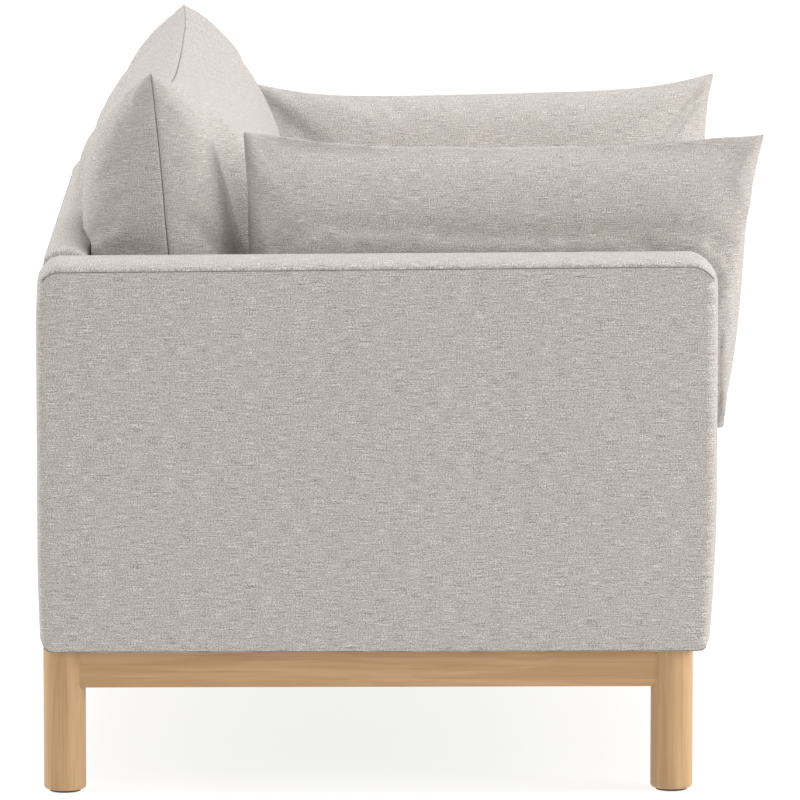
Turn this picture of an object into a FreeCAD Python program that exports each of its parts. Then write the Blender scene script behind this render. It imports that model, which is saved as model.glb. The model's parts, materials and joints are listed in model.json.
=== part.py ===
"""Two-seat sofa on a round-legged oak base: upholstered arms and back of equal height, one loose bench seat
cushion, one loose knife-edge back cushion and a loose pillow leaning on each arm.

Units are millimetres. X runs along the sofa, -Y is the front, +Z is up. The origin is on the floor, under the
middle of the whole object. Left and right are as seen from the front, so left is -X.
Depths are measured forwards from the rear face of the back, and heights from the floor.
"""

import FreeCAD
import Part
import math
import os

V = FreeCAD.Vector
LEFT, RIGHT = -1, 1
SIDES = {"left": LEFT, "right": RIGHT}

# ---- driving dimensions ----------------------------------------------------------------------------------
LENGTH = 1520.0
OVERALL_DEPTH = 942.0  # from the rear face to the front ends of the arm pillows
BODY_DEPTH = 864.0  # from the rear face to the front of the arms
ARM_THICKNESS = 110.0
BACK_THICKNESS = 65.0
BODY_BOTTOM = 184.5
BODY_TOP = 688.0
DECK_TOP = 302.0
SEAT_TOP = 444.0
FABRIC = 2.0
GAP = 0.5  # between bodies that lift apart
OVERCUT = 1.0  # how far a cutting shape runs past what it cuts
TOUCH = 0.01  # how near a face lies to a plane to be taken as on it

HALF_LENGTH = LENGTH / 2
INNER_HALF = HALF_LENGTH - ARM_THICKNESS
REAR_Y = OVERALL_DEPTH / 2

# ---- oak base --------------------------------------------------------------------------------------------
LEG_RADIUS = 27.0
LEG_INSET_X = 8.0  # from the outside of the arm to the leg
REAR_LEG_DEPTH = 34.0
FRONT_LEG_DEPTH = 811.0
PAD_HEIGHT = 3.0
PAD_RADIUS = 20.0
LEG_FOOT_ROUND = 5.0
BASE_RAIL_HEIGHT = 48.5
BASE_RAIL_THICKNESS = 22.0
BASE_RAIL_ROUND = 2.0
RAIL_FACE_FROM_AXIS = 18.5  # outer face of a base rail, outwards from the leg's axis
RAIL_HOUSING = 8.0  # how far a rail's end is let into the leg, past the leg's axis line less its radius
LEG_X = HALF_LENGTH - LEG_INSET_X - LEG_RADIUS
BASE_RAIL_BOTTOM = BODY_BOTTOM - BASE_RAIL_HEIGHT
BRACE_THICKNESS = 22.0
BRACE_REACH = 78.0  # along each rail, from the leg's axis to the brace's outer corner
BRACE_HEIGHT = 40.0
HANGER_RADIUS = 4.0
NUT_RADIUS = 7.5
NUT_HEIGHT = 6.5
HANGER_START = 4.0  # from the leg's axis to the bolt's inner end
HANGER_PAST_NUT = 6.0
BASE_BOLT_RADIUS = 3.0
BASE_BOLT_HEAD_RADIUS = 6.0
BASE_BOLT_HEAD_HEIGHT = 4.0
BASE_BOLT_INTO_BODY = 22.0
SIDE_RAIL_BOLT_DEPTHS = (170.0, 422.0, 675.0)
LONG_RAIL_BOLT_X = (-420.0, 420.0)
CROSS_RAIL_RECESS = 8.0  # the cross rail's underside, above that of the other rails

# ---- arms ------------------------------------------------------------------------------------------------
ARM_FRAME_INNER = INNER_HALF + 26.0
ARM_FRAME_OUTER = HALF_LENGTH - 14.0
ARM_BOARD = 4.0
ARM_FRAME_REAR = 12.0
ARM_FRAME_FRONT = BODY_DEPTH - 22.0
ARM_FRAME_TOP = BODY_TOP - 22.0
ARM_POST = 40.0
ARM_BOTTOM_RAIL = 50.0
ARM_TOP_RAIL = 30.0
ARM_FRONT_ROUND = 46.0
ARM_REAR_ROUND = 24.0

# ---- back ------------------------------------------------------------------------------------------------
BACK_FRAME_REAR = 8.0
BACK_FRAME_FRONT = 46.0
BACK_FRAME_TOP = BODY_TOP - 20.0
BACK_RAIL_BOTTOM = 50.0
BACK_RAIL_TOP = 32.0
BACK_POST_WIDTH = 45.0
BACK_POST_CENTRES = (-627.5, -215.0, 215.0, 627.5)
WEBBING_THICKNESS = 2.5
WEBBING_WIDTH = 60.0
WEBBING_END_GAP = 4.0
WEBBING_HEIGHTS = (330.0, 402.0, 474.0, 546.0)
BACK_PAD_REAR = 49.0

# ---- seat frame and suspension ---------------------------------------------------------------------------
SEAT_RAIL_THICKNESS = 25.0
SEAT_RAIL_TOP = 288.0
SEAT_SIDE_RAIL_TOP = 294.0
SEAT_CENTRE_RAIL_TOP = 245.0
FRONT_RAIL_REAR = BODY_DEPTH - 39.0
BORDER_FOAM = 10.0
SPRING_WIRE_RADIUS = 1.9
SPRING_HALF_WIDTH = 22.0
SPRING_PITCH = 25.0
SPRING_CENTRES = (-546.0, -390.0, -234.0, -78.0, 78.0, 234.0, 390.0, 546.0)
CLIP_WIDTH, CLIP_DEPTH, CLIP_HEIGHT = 26.0, 14.0, 6.0
DECK_PAD = 6.0
DUST_COVER = 1.0

# ---- knock-down bolts between arms, back and seat ----
ARM_BOLT_RADIUS = 4.0
ARM_BOLT_HEAD_RADIUS = 8.0
ARM_BOLT_HEAD = 5.0
ARM_BOLT_HEIGHT = 210.0
ARM_BOLT_DEPTHS = (140.0, 330.0, 560.0, 760.0)
ARM_BOLT_INTO_ARM = 22.0

# ---- loose cushions --------------------------------------------------------------------------------------
SEAT_CUSHION_SIDE_GAP = 3.0
SEAT_CUSHION_REAR = 68.0
SEAT_CUSHION_FRONT = 874.0
SEAT_CUSHION_ROUND = 16.0

BACK_CUSHION_LEAN = 5.8
BACK_CUSHION_MIDDLE = (168.0, 661.0)  # depth and height of the middle of its seam plane
BACK_CUSHION_HALF_HEIGHT = 247.0
BACK_CUSHION_FRONT_BULGE = 140.0
BACK_CUSHION_REAR_BULGE = 120.0
BACK_CUSHION_HALF_LENGTH = INNER_HALF - 4.0
BACK_CUSHION_END_TAPER = 420.0

PILLOW_LEAN = 10.0
PILLOW_MIDDLE = (586.0, 627.0)  # |x| and height of the middle of its seam plane
PILLOW_HALF_HEIGHT = 203.0
PILLOW_BULGE = 76.0
PILLOW_REAR, PILLOW_FRONT = 280.0, OVERALL_DEPTH
PILLOW_END_TAPER = 130.0

# ---- zips ------------------------------------------------------------------------------------------------
ZIP_GROOVE_WIDTH = 14.0
ZIP_GROOVE_DEPTH = 8.0
ZIP_TAPE = 2.0
SLIDER_LENGTH, SLIDER_WIDTH, SLIDER_HEIGHT = 12.0, 8.0, 3.2
SLIDER_CLEARANCE = 0.5
PULL_LENGTH, PULL_WIDTH, PULL_HEIGHT = 24.0, 5.0, 1.2
PULL_SETBACK = 2.0  # from the slider's end to the pull's
ZIP_END_MARGIN = 4.0
SEAT_ZIP_HALF = 360.0
BACK_ZIP_HALF = 330.0
PILLOW_ZIP_HALF = 190.0


# ---- helpers ---------------------------------------------------------------------------------------------
def block(x0, x1, depth0, depth1, z0, z1):
    """A box between two X values, two depths from the rear face and two heights."""
    lo, hi = min(x0, x1), max(x0, x1)
    corner = V(lo, REAR_Y - max(depth0, depth1), z0)
    return Part.makeBox(hi - lo, abs(depth1 - depth0), z1 - z0, corner)


def rod(radius, start, end):
    """A round bar from one point to another."""
    axis = end - start
    return Part.makeCylinder(radius, axis.Length, start, axis)


def at(x, depth, z):
    return V(x, REAR_Y - depth, z)


def cut(shape, *tools):
    for tool in tools:
        shape = shape.cut(tool)
    return shape


def export(name, *solids):
    """One STEP file per node: a single solid, or a group of separate ones."""
    found = [s for shape in solids for s in shape.Solids]
    shape = found[0] if len(found) == 1 else Part.makeCompound(found)
    for solid in found:
        if not solid.isValid() or solid.Volume <= 0:
            raise ValueError(f"{name} holds a bad solid")
    shape.exportStep(f"parts/{name}.step")


def arc(a, middle, b):
    return Part.Arc(a, middle, b).toShape()


def corner_arc(centre, radius, angle0, angle1):
    """A quarter round in the YZ plane, from one angle to another, in degrees from +Y."""
    def point(angle):
        a = math.radians(angle)
        return V(centre.x, centre.y + radius * math.cos(a), centre.z + radius * math.sin(a))

    return arc(point(angle0), point((angle0 + angle1) / 2), point(angle1))


def arm_profile(x, inset):
    """The side outline of an arm, moved inwards by inset along the rear, top and front, at one X."""
    rear, front = REAR_Y - inset, REAR_Y - BODY_DEPTH + inset
    top = BODY_TOP - inset
    r_rear, r_front = ARM_REAR_ROUND - inset, ARM_FRONT_ROUND - inset
    edges = [
        Part.makeLine(V(x, front, BODY_BOTTOM), V(x, rear, BODY_BOTTOM)),
        Part.makeLine(V(x, rear, BODY_BOTTOM), V(x, rear, top - r_rear)),
        corner_arc(V(x, rear - r_rear, top - r_rear), r_rear, 0, 90),
        Part.makeLine(V(x, rear - r_rear, top), V(x, front + r_front, top)),
        corner_arc(V(x, front + r_front, top - r_front), r_front, 90, 180),
        Part.makeLine(V(x, front, top - r_front), V(x, front, BODY_BOTTOM)),
    ]
    return Part.Face(Part.Wire(edges))


def lens(half_height, bulge_a, bulge_b):
    """Side section of a knife-edge cushion in its own plane: two arcs that meet at the seams.
    First axis is thickness, second is height."""
    top, bottom = V(0, half_height, 0), V(0, -half_height, 0)
    wire = Part.Wire([arc(bottom, V(bulge_a, 0, 0), top), arc(top, V(-bulge_b, 0, 0), bottom)])
    return Part.Face(wire)


def plan(half_length, bulge_a, bulge_b, taper):
    """Plan section of a knife-edge cushion: straight in the middle, with ends that close like quarter ellipses.
    First axis is thickness, second is length."""
    steps = 6

    def end_curve(bulge, way):
        points = []
        for i in range(steps + 1):
            a = math.pi / 2 * i / steps
            points.append(V(bulge * math.cos(a), way * (half_length - taper + taper * math.sin(a)), 0))
        curve = Part.BSplineCurve()
        curve.interpolate(points)
        return curve.toShape()

    straight = half_length - taper
    edges = [
        Part.makeLine(V(bulge_a, -straight, 0), V(bulge_a, straight, 0)),
        end_curve(bulge_a, 1),
        end_curve(-bulge_b, 1),
        Part.makeLine(V(-bulge_b, straight, 0), V(-bulge_b, -straight, 0)),
        end_curve(-bulge_b, -1),
        end_curve(bulge_a, -1),
    ]
    return Part.Face(Part.Wire(Part.__sortEdges__(edges)))


def knife_edge_cushion(half_length, half_height, bulge_a, bulge_b, taper, inset):
    """A cushion lying along Y with its thickness along X and its height along Z, centred on the origin.
    It is its side section run along its length, kept within its plan section."""
    length, height = half_length - inset, half_height - inset
    a, b = bulge_a - inset, bulge_b - inset
    side = lens(height, a, b)
    side.rotate(V(0, 0, 0), V(1, 0, 0), 90)
    side.translate(V(0, half_length, 0))
    body = side.extrude(V(0, -2 * half_length, 0))
    flat = plan(length, a, b, taper - inset)
    flat.translate(V(0, 0, -half_height))
    return body.common(flat.extrude(V(0, 0, 2 * half_height)))


def zip_parts(origin, along, into, length):
    """The tape at the bottom of a zip's groove, and the slider with its pull near one end.
    origin is the middle of the groove at the cushion's surface, along the zip's direction, into the cushion."""
    across = along.cross(into)

    def bar(start, size_along, width, deep0, deep1):
        corner = origin + along * start - across * (width / 2) + into * deep0
        other = origin + along * (start + size_along) + across * (width / 2) + into * deep1
        lo = V(*(min(p, q) for p, q in zip(corner, other)))
        hi = V(*(max(p, q) for p, q in zip(corner, other)))
        return Part.makeBox(hi.x - lo.x, hi.y - lo.y, hi.z - lo.z, lo)

    half = length / 2
    groove = bar(-half, length, ZIP_GROOVE_WIDTH, -OVERCUT, ZIP_GROOVE_DEPTH)
    tape = bar(-half, length, ZIP_GROOVE_WIDTH, ZIP_GROOVE_DEPTH - ZIP_TAPE, ZIP_GROOVE_DEPTH)
    slider_top = ZIP_GROOVE_DEPTH - ZIP_TAPE - SLIDER_CLEARANCE
    start = -half + ZIP_END_MARGIN
    slider = bar(start, SLIDER_LENGTH, SLIDER_WIDTH, slider_top - SLIDER_HEIGHT, slider_top)
    pull_top = slider_top - SLIDER_HEIGHT
    pull = bar(start + PULL_SETBACK, PULL_LENGTH, PULL_WIDTH, pull_top - PULL_HEIGHT, pull_top)
    return groove, tape, slider, pull


# ---- oak base --------------------------------------------------------------------------------------------
def rounded_along_length(rail):
    """A rail with its four long edges eased."""
    long_edges = [e for e in rail.Edges if e.Length > 2 * BASE_RAIL_HEIGHT]
    return rail.makeFillet(BASE_RAIL_ROUND, long_edges)


def leg_axes():
    return {
        f"{row}_{side}": (sign * LEG_X, depth)
        for row, depth in (("front", FRONT_LEG_DEPTH), ("rear", REAR_LEG_DEPTH))
        for side, sign in SIDES.items()
    }


def base_rails():
    """Four rails between the legs, each let into the legs at both ends."""
    lo, hi = BASE_RAIL_BOTTOM, BODY_BOTTOM
    reach = LEG_RADIUS - RAIL_HOUSING
    rails = {}
    for side, sign in SIDES.items():
        outer = LEG_X + RAIL_FACE_FROM_AXIS
        inner = outer - BASE_RAIL_THICKNESS
        rails[side] = block(sign * outer, sign * inner, REAR_LEG_DEPTH + reach, FRONT_LEG_DEPTH - reach, lo, hi)
    front = FRONT_LEG_DEPTH + RAIL_FACE_FROM_AXIS
    rear = REAR_LEG_DEPTH - RAIL_FACE_FROM_AXIS
    half = LEG_X - reach
    rails["front"] = block(-half, half, front - BASE_RAIL_THICKNESS, front, lo, hi)
    rails["rear"] = block(-half, half, rear, rear + BASE_RAIL_THICKNESS, lo, hi)
    return {name: rounded_along_length(rail) for name, rail in rails.items()}


def corner_hardware():
    """A diagonal brace behind each leg, the hanger bolt through it into the leg, and the bolt's nut."""
    braces, bolts, nuts = [], [], []
    z_mid = BASE_RAIL_BOTTOM + BASE_RAIL_HEIGHT / 2
    rail_inner = BASE_RAIL_THICKNESS - RAIL_FACE_FROM_AXIS  # inwards from the leg's axis to a rail's inner face
    for (x, depth) in leg_axes().values():
        towards_x = -math.copysign(1, x)
        towards_y = 1 if depth > BODY_DEPTH / 2 else -1
        inwards = V(towards_x, towards_y, 0).normalize()
        axis = at(x, depth, z_mid)
        near = BRACE_REACH
        far = BRACE_REACH - BRACE_THICKNESS * math.sqrt(2)
        corners = [(near, rail_inner), (rail_inner, near), (rail_inner, far), (far, rail_inner)]
        low = z_mid - BRACE_HEIGHT / 2
        points = [V(axis.x + towards_x * a, axis.y + towards_y * b, low) for a, b in corners]
        face = Part.Face(Part.makePolygon(points + points[:1]))
        brace = face.extrude(V(0, 0, BRACE_HEIGHT))
        outer_face = (near + rail_inner) / math.sqrt(2)
        tip = axis + inwards * (outer_face + NUT_HEIGHT + HANGER_PAST_NUT)
        bolt = rod(HANGER_RADIUS, axis + inwards * HANGER_START, tip)
        nut_start = axis + inwards * outer_face
        nut = cut(rod(NUT_RADIUS, nut_start, nut_start + inwards * NUT_HEIGHT), bolt)
        braces.append(cut(brace, bolt))
        bolts.append(bolt)
        nuts.append(nut)
    return braces, bolts, nuts


def legs(rails, bolts):
    made = {}
    for name, (x, depth) in leg_axes().items():
        leg = Part.makeCylinder(LEG_RADIUS, BODY_BOTTOM - PAD_HEIGHT, at(x, depth, PAD_HEIGHT))
        foot = [e for e in leg.Edges if abs(e.BoundBox.ZMax - PAD_HEIGHT) < TOUCH]
        leg = leg.makeFillet(LEG_FOOT_ROUND, foot)
        made[name] = cut(leg, *rails.values(), *bolts)
    return made


def base_bolts():
    """Bolts up through the base rails into the body, heads sunk in the undersides of the rails."""
    side_x = LEG_X + RAIL_FACE_FROM_AXIS - BASE_RAIL_THICKNESS / 2
    front = FRONT_LEG_DEPTH + RAIL_FACE_FROM_AXIS - BASE_RAIL_THICKNESS / 2
    rear = REAR_LEG_DEPTH - RAIL_FACE_FROM_AXIS + BASE_RAIL_THICKNESS / 2
    places = [(sign * side_x, depth) for sign in SIDES.values() for depth in SIDE_RAIL_BOLT_DEPTHS]
    places += [(x, depth) for depth in (front, rear) for x in LONG_RAIL_BOLT_X]
    bolts = []
    for x, depth in places:
        low, top = BASE_RAIL_BOTTOM, BODY_BOTTOM + BASE_BOLT_INTO_BODY
        head = rod(BASE_BOLT_HEAD_RADIUS, at(x, depth, low), at(x, depth, low + BASE_BOLT_HEAD_HEIGHT))
        bolts.append(head.fuse(rod(BASE_BOLT_RADIUS, at(x, depth, low), at(x, depth, top))).removeSplitter())
    return bolts


def build_base():
    """Exports the base and returns the bolts that go up into the body."""
    rails = base_rails()
    braces, hangers, nuts = corner_hardware()
    bolts = base_bolts()
    for name, leg in legs(rails, hangers).items():
        export(f"leg_{name}", leg)
    for name, rail in rails.items():
        export(f"base_rail_{name}", cut(rail, *bolts))
    rear = REAR_LEG_DEPTH - RAIL_FACE_FROM_AXIS + BASE_RAIL_THICKNESS
    front = FRONT_LEG_DEPTH + RAIL_FACE_FROM_AXIS - BASE_RAIL_THICKNESS
    half = BASE_RAIL_THICKNESS / 2
    cross_top = BODY_BOTTOM - 2 * DUST_COVER
    cross_bottom = BASE_RAIL_BOTTOM + CROSS_RAIL_RECESS
    export("base_cross_rail", block(-half, half, rear, front, cross_bottom, cross_top))
    export("corner_braces", *braces)
    export("leg_bolts_and_nuts", *hangers, *nuts)
    export("base_bolts", *bolts)
    pads = [rod(PAD_RADIUS, at(x, d, 0), at(x, d, PAD_HEIGHT)) for x, d in leg_axes().values()]
    export("floor_pads", *pads)
    side = LEG_X + RAIL_FACE_FROM_AXIS - BASE_RAIL_THICKNESS
    dust = block(-side, side, rear, front, BODY_BOTTOM - DUST_COVER, BODY_BOTTOM)
    dust = cut(dust, *[rod(LEG_RADIUS, at(x, d, 0), at(x, d, BODY_BOTTOM)) for x, d in leg_axes().values()])
    export("dust_cover", dust)
    return bolts


# ---- arms ------------------------------------------------------------------------------------------------
def arm_bolts():
    """Bolts from inside the seat box through its side rails into the arms' bottom rails."""
    bolts = []
    for sign in SIDES.values():
        inside = INNER_HALF - SEAT_RAIL_THICKNESS
        tip = ARM_FRAME_INNER + ARM_BOLT_INTO_ARM
        for depth in ARM_BOLT_DEPTHS:
            def point(x):
                return at(sign * x, depth, ARM_BOLT_HEIGHT)

            head = rod(ARM_BOLT_HEAD_RADIUS, point(inside - ARM_BOLT_HEAD), point(inside))
            shank = rod(ARM_BOLT_RADIUS, point(inside - ARM_BOLT_HEAD), point(tip))
            bolts.append(head.fuse(shank).removeSplitter())
    return bolts


def build_arm(side, bolts):
    sign = SIDES[side]
    inner, outer = ARM_FRAME_INNER, ARM_FRAME_OUTER
    rear, front, top = ARM_FRAME_REAR, ARM_FRAME_FRONT, ARM_FRAME_TOP
    low, high = BODY_BOTTOM + ARM_BOTTOM_RAIL, ARM_FRAME_TOP - ARM_TOP_RAIL

    def member(depth0, depth1, z0, z1):
        return block(sign * inner, sign * outer, depth0, depth1, z0, z1)

    frame = [
        cut(member(rear, front, BODY_BOTTOM, low), *bolts),
        member(rear, front, high, top),
        member(rear, rear + ARM_POST, low, high),
        member(front - ARM_POST, front, low, high),
    ]
    export(f"arm_frame_{side}", *frame)
    board = block(sign * outer, sign * (outer + ARM_BOARD), rear, front, BODY_BOTTOM, top)
    export(f"arm_board_{side}", board)

    def slab(x0, x1, inset):
        face = arm_profile(sign * x0, inset)
        return face.extrude(V(sign * (x1 - x0), 0, 0))

    export(f"arm_outer_panel_{side}", slab(HALF_LENGTH - FABRIC, HALF_LENGTH, 0))
    export(f"arm_inner_panel_{side}", cut(slab(INNER_HALF, INNER_HALF + FABRIC, 0), *bolts))
    band_inner, band_outer = INNER_HALF + FABRIC, HALF_LENGTH - FABRIC
    stuffing = slab(band_inner, band_outer, FABRIC)
    export(f"arm_band_{side}", slab(band_inner, band_outer, 0).cut(stuffing))
    core = block(sign * inner, sign * (outer + ARM_BOARD), rear, front, BODY_BOTTOM, top)
    export(f"arm_foam_{side}", cut(stuffing, core, *bolts))


# ---- back ------------------------------------------------------------------------------------------------
def build_back(bolts):
    half, bottom, top = INNER_HALF, BODY_BOTTOM, BACK_FRAME_TOP
    rear, front = BACK_FRAME_REAR, BACK_FRAME_FRONT
    low, high = bottom + BACK_RAIL_BOTTOM, top - BACK_RAIL_TOP
    lower = cut(block(-half, half, rear, front, bottom, low), *bolts)
    export("back_rails", lower, block(-half, half, rear, front, high, top))
    width = BACK_POST_WIDTH / 2
    posts = [block(x - width, x + width, rear, front, low, high) for x in BACK_POST_CENTRES]
    export("back_posts", *posts)
    reach = half - WEBBING_END_GAP
    straps = [
        block(-reach, reach, front, front + WEBBING_THICKNESS, z, z + WEBBING_WIDTH) for z in WEBBING_HEIGHTS
    ]
    export("back_webbing", *straps)
    foam_front, inner_top = BACK_THICKNESS - FABRIC, BODY_TOP - FABRIC
    foam = block(-half, half, FABRIC, foam_front, bottom, inner_top)
    foam = cut(
        foam,
        block(-half, half, rear, BACK_PAD_REAR, bottom, top),
        block(-half, half, BACK_PAD_REAR, foam_front, bottom, DECK_TOP),
    )
    export("back_foam", foam)
    export("back_front_panel", block(-half, half, foam_front, BACK_THICKNESS, DECK_TOP, BODY_TOP))
    export("back_rear_panel", block(-half, half, 0, FABRIC, bottom, BODY_TOP))
    export("back_top_band", block(-half, half, FABRIC, foam_front, inner_top, BODY_TOP))


# ---- seat frame and suspension ---------------------------------------------------------------------------
def sinuous_spring(x):
    """A zigzag spring from the rear rail to the front rail: runs across it joined by half rounds."""
    z = SEAT_RAIL_TOP + CLIP_HEIGHT / 2
    first = BACK_FRAME_FRONT + SEAT_RAIL_THICKNESS / 2
    last = FRONT_RAIL_REAR + SEAT_RAIL_THICKNESS / 2
    runs = round((last - first) / SPRING_PITCH)
    runs += runs % 2  # an even number of turns ends on the same side
    pitch = (last - first) / runs
    edges, way = [], 1
    for i in range(runs + 1):
        depth = first + i * pitch
        start = x - way * SPRING_HALF_WIDTH
        end = x + way * SPRING_HALF_WIDTH
        edges.append(Part.makeLine(at(start, depth, z), at(end, depth, z)))
        if i < runs:
            tip = at(end + way * pitch / 2, depth + pitch / 2, z)
            edges.append(arc(at(end, depth, z), tip, at(end, depth + pitch, z)))
        way = -way
    path = Part.Wire(edges)
    start = path.OrderedEdges[0].valueAt(path.OrderedEdges[0].FirstParameter)
    ring = Part.Wire(Part.makeCircle(SPRING_WIRE_RADIUS, start, V(1, 0, 0)))
    return path.makePipeShell([ring], True, False)


def build_seat(bolts):
    bottom, thick = BODY_BOTTOM, SEAT_RAIL_THICKNESS
    rear0, rear1 = BACK_FRAME_FRONT, BACK_FRAME_FRONT + thick
    front0, front1 = FRONT_RAIL_REAR, FRONT_RAIL_REAR + thick
    half = INNER_HALF
    export("seat_rail_rear", block(-half, half, rear0, rear1, bottom, SEAT_RAIL_TOP))
    export("seat_rail_front", cut(block(-half, half, front0, front1, bottom, SEAT_RAIL_TOP), *bolts))
    sides = [
        cut(block(sign * (half - thick), sign * half, rear1, front0, bottom, SEAT_SIDE_RAIL_TOP), *bolts)
        for sign in SIDES.values()
    ]
    export("seat_rails_side", *sides)
    export("seat_rail_centre", block(-thick / 2, thick / 2, rear1, front0, bottom, SEAT_CENTRE_RAIL_TOP))

    springs = [sinuous_spring(x) for x in SPRING_CENTRES]
    export("sinuous_springs", *springs)
    clips = []
    for x, spring in zip(SPRING_CENTRES, springs):
        for depth in (rear0 + thick / 2, front0 + thick / 2):
            near, far = depth - CLIP_DEPTH / 2, depth + CLIP_DEPTH / 2
            left, right = x - CLIP_WIDTH / 2, x + CLIP_WIDTH / 2
            clip = block(left, right, near, far, SEAT_RAIL_TOP, SEAT_RAIL_TOP + CLIP_HEIGHT)
            clips.append(clip.cut(spring))
    export("spring_clips", *clips)

    pad_low = SEAT_RAIL_TOP + CLIP_HEIGHT
    border = front1 + BORDER_FOAM
    export("deck_pad", block(-half, half, BACK_PAD_REAR, border, pad_low, pad_low + DECK_PAD))
    export("deck_cover", block(-half, half, BACK_PAD_REAR, border + FABRIC, DECK_TOP - FABRIC, DECK_TOP))
    export("front_border_foam", block(-half, half, front1, border, bottom, pad_low))
    export("front_border_cover", block(-half, half, border, border + FABRIC, bottom, DECK_TOP - FABRIC))


# ---- loose cushions --------------------------------------------------------------------------------------
def build_seat_cushion():
    low, top = DECK_TOP + GAP, SEAT_TOP

    def body(inset):
        half = INNER_HALF - SEAT_CUSHION_SIDE_GAP - inset
        rear, front = SEAT_CUSHION_REAR + inset, SEAT_CUSHION_FRONT - inset
        shape = block(-half, half, rear, front, low + inset, top - inset)
        return shape.makeFillet(SEAT_CUSHION_ROUND - inset, shape.Edges)

    shell, inner = body(0), body(FABRIC)
    middle = at(0, SEAT_CUSHION_REAR, (low + top) / 2)
    groove, tape, slider, pull = zip_parts(middle, V(1, 0, 0), V(0, -1, 0), 2 * SEAT_ZIP_HALF)
    export("seat_cushion_cover", cut(shell, inner, groove))
    export("seat_cushion_foam", inner.cut(groove))
    export("seat_zip_tape", tape)
    export("seat_zip_slider", slider, pull)


def export_stuffed(name, outer, inner, zip_shapes):
    """A loose knife-edge cushion: cover, fill, zip tape and zip slider."""
    groove, tape, slider, pull = zip_shapes
    export(f"{name}_cover", cut(outer, inner, groove))
    export(f"{name}_fill", inner.cut(groove))
    export(f"{name}_zip_tape", tape)
    export(f"{name}_zip_slider", slider, pull)


def build_back_cushion():
    floor = SEAT_TOP + GAP
    depth, height = BACK_CUSHION_MIDDLE

    def body(inset):
        shape = knife_edge_cushion(
            BACK_CUSHION_HALF_LENGTH,
            BACK_CUSHION_HALF_HEIGHT,
            BACK_CUSHION_FRONT_BULGE,
            BACK_CUSHION_REAR_BULGE,
            BACK_CUSHION_END_TAPER,
            inset,
        )
        shape.rotate(V(0, 0, 0), V(0, 0, 1), -90)  # thickness now runs forwards and length along X
        shape.rotate(V(0, 0, 0), V(1, 0, 0), -BACK_CUSHION_LEAN)
        shape.translate(at(0, depth, height))
        shape = shape.common(block(-HALF_LENGTH, HALF_LENGTH, 0, BODY_DEPTH, floor + inset, 2 * BODY_TOP))
        behind = block(-HALF_LENGTH, HALF_LENGTH, 0, BACK_THICKNESS + GAP + inset, 0, BODY_TOP + GAP + inset)
        return shape.cut(behind)

    outer, inner = body(0), body(FABRIC)
    foot = [f for f in outer.Faces if abs(f.BoundBox.ZMax - floor) < TOUCH][0]
    middle = V(0, foot.CenterOfMass.y, floor)
    zip_shapes = zip_parts(middle, V(1, 0, 0), V(0, 0, 1), 2 * BACK_ZIP_HALF)
    export_stuffed("back_cushion", outer, inner, zip_shapes)


def build_pillow(side):
    sign = SIDES[side]
    floor = SEAT_TOP + GAP
    across, height = PILLOW_MIDDLE
    half_length = (PILLOW_FRONT - PILLOW_REAR) / 2

    def body(inset):
        shape = knife_edge_cushion(
            half_length, PILLOW_HALF_HEIGHT, PILLOW_BULGE, PILLOW_BULGE, PILLOW_END_TAPER, inset
        )
        shape.rotate(V(0, 0, 0), V(0, 1, 0), sign * PILLOW_LEAN)
        shape.translate(at(sign * across, (PILLOW_FRONT + PILLOW_REAR) / 2, height))
        limit = INNER_HALF - GAP - inset
        kept = block(0, sign * limit, 0, OVERALL_DEPTH + OVERCUT, floor + inset, 2 * BODY_TOP)
        return shape.common(kept)

    outer, inner = body(0), body(FABRIC)
    foot = [f for f in outer.Faces if abs(f.BoundBox.ZMax - floor) < TOUCH][0]
    middle = V(foot.CenterOfMass.x, foot.CenterOfMass.y, floor)
    zip_shapes = zip_parts(middle, V(0, 1, 0), V(0, 0, 1), 2 * PILLOW_ZIP_HALF)
    export_stuffed(f"pillow_{side}", outer, inner, zip_shapes)


# ---- build -----------------------------------------------------------------------------------------------
def main():
    os.makedirs("parts", exist_ok=True)
    up_bolts = build_base()
    side_bolts = arm_bolts()
    export("arm_bolts", *side_bolts)
    for side in SIDES:
        build_arm(side, side_bolts + up_bolts)
    build_back(up_bolts)
    build_seat(side_bolts + up_bolts)
    build_seat_cushion()
    build_back_cushion()
    for side in SIDES:
        build_pillow(side)


main()
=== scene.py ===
import json
import math

import bmesh
import bpy
import numpy as np
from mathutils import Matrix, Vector, noise


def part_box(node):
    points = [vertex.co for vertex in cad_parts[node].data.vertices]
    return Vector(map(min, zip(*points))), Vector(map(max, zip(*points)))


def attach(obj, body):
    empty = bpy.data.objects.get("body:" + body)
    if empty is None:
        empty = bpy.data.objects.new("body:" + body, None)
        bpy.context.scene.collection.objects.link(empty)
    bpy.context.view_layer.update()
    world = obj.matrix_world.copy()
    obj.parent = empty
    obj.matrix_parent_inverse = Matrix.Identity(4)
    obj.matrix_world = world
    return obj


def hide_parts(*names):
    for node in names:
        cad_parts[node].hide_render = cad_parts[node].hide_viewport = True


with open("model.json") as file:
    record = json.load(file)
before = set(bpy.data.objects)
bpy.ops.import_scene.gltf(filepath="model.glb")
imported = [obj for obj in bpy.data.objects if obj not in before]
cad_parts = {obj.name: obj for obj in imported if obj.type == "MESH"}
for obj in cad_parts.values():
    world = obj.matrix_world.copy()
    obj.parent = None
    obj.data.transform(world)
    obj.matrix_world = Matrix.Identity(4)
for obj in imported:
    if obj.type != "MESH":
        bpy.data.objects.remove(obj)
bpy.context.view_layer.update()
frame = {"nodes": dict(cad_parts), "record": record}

MM = 0.001
SIDES = {"left": -1, "right": 1}

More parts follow.
